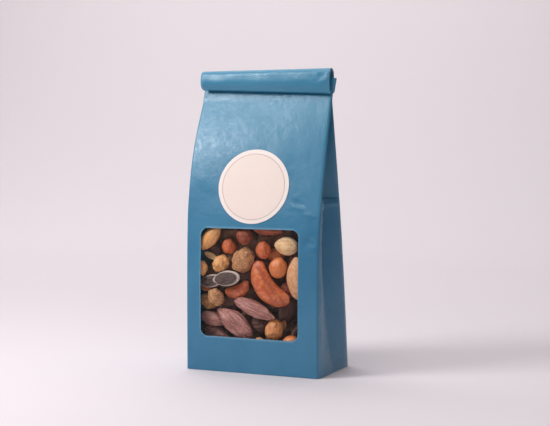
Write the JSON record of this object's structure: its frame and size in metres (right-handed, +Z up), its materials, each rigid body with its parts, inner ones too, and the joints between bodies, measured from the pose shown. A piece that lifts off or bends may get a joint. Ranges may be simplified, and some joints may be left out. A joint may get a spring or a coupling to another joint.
{
  "type": "stand-up pouch",
  "caption": "Filled stand-up paper pouch with side gussets, a rolled top, a square film window onto mixed nuts and a round label.",
  "frame": {"origin": "middle of the base, on the surface that the pouch stands on", "axes": "+Z up to the rolled top, -Y out of the front panel with the window, +X to the right of the front panel"},
  "size_m": [0.0877, 0.0514, 0.1817],
  "materials": {
    "bag_paper": "satin",
    "window_film": "gloss",
    "label_paper": "matte",
    "nut_tan": "matte",
    "nut_brown": "matte",
    "nut_dusty": "matte",
    "nut_shell": "matte",
    "nut_shaded": "matte"
  },
  "bodies": {
    "root": {"bag_paper": "bag_paper", "window_film": "window_film", "round_label": "label_paper", "pistachio_right": "nut_tan", "almond_tan_right": "nut_tan", "almond_blanched": "nut_tan", "chickpea_large": "nut_tan", "chickpea_seam": "nut_tan", "chickpea_gold": "nut_tan", "nugget_gold_low": "nut_tan", "peanut_tan": "nut_tan", "chip_tan_low": "nut_tan", "peanut_gold_left": "nut_tan", "cashew_large": "nut_brown", "hazelnut_red": "nut_brown", "hazelnut_orange": "nut_brown", "hazelnut_smooth": "nut_brown", "cashew_small": "nut_brown", "hazelnut_low": "nut_brown", "seed_small_low": "nut_brown", "skin_chip_left": "nut_brown", "hazelnut_upper_right": "nut_brown", "hazelnut_dark": "nut_brown", "almond_dusty_large": "nut_dusty", "almond_dusty_long": "nut_dusty", "almond_pink_upper": "nut_dusty", "almond_pink_lower": "nut_dusty", "sunflower_seed_top": "nut_shell", "sunflower_seed_low": "nut_shell", "seed_sliver": "nut_shell", "chip_pale_low": "nut_shell", "almond_dark_top": "nut_shaded", "hazelnut_dark_right": "nut_shaded", "almond_shaded_left": "nut_shaded", "almond_shaded_right": "nut_shaded", "hazelnut_shaded_middle": "nut_shaded", "hazelnut_shaded_low": "nut_shaded", "hazelnut_shaded_top_left": "nut_shaded", "peanut_shaded_right": "nut_shaded", "nut_heap": "nut_shaded"}
  },
  "joints": []
}
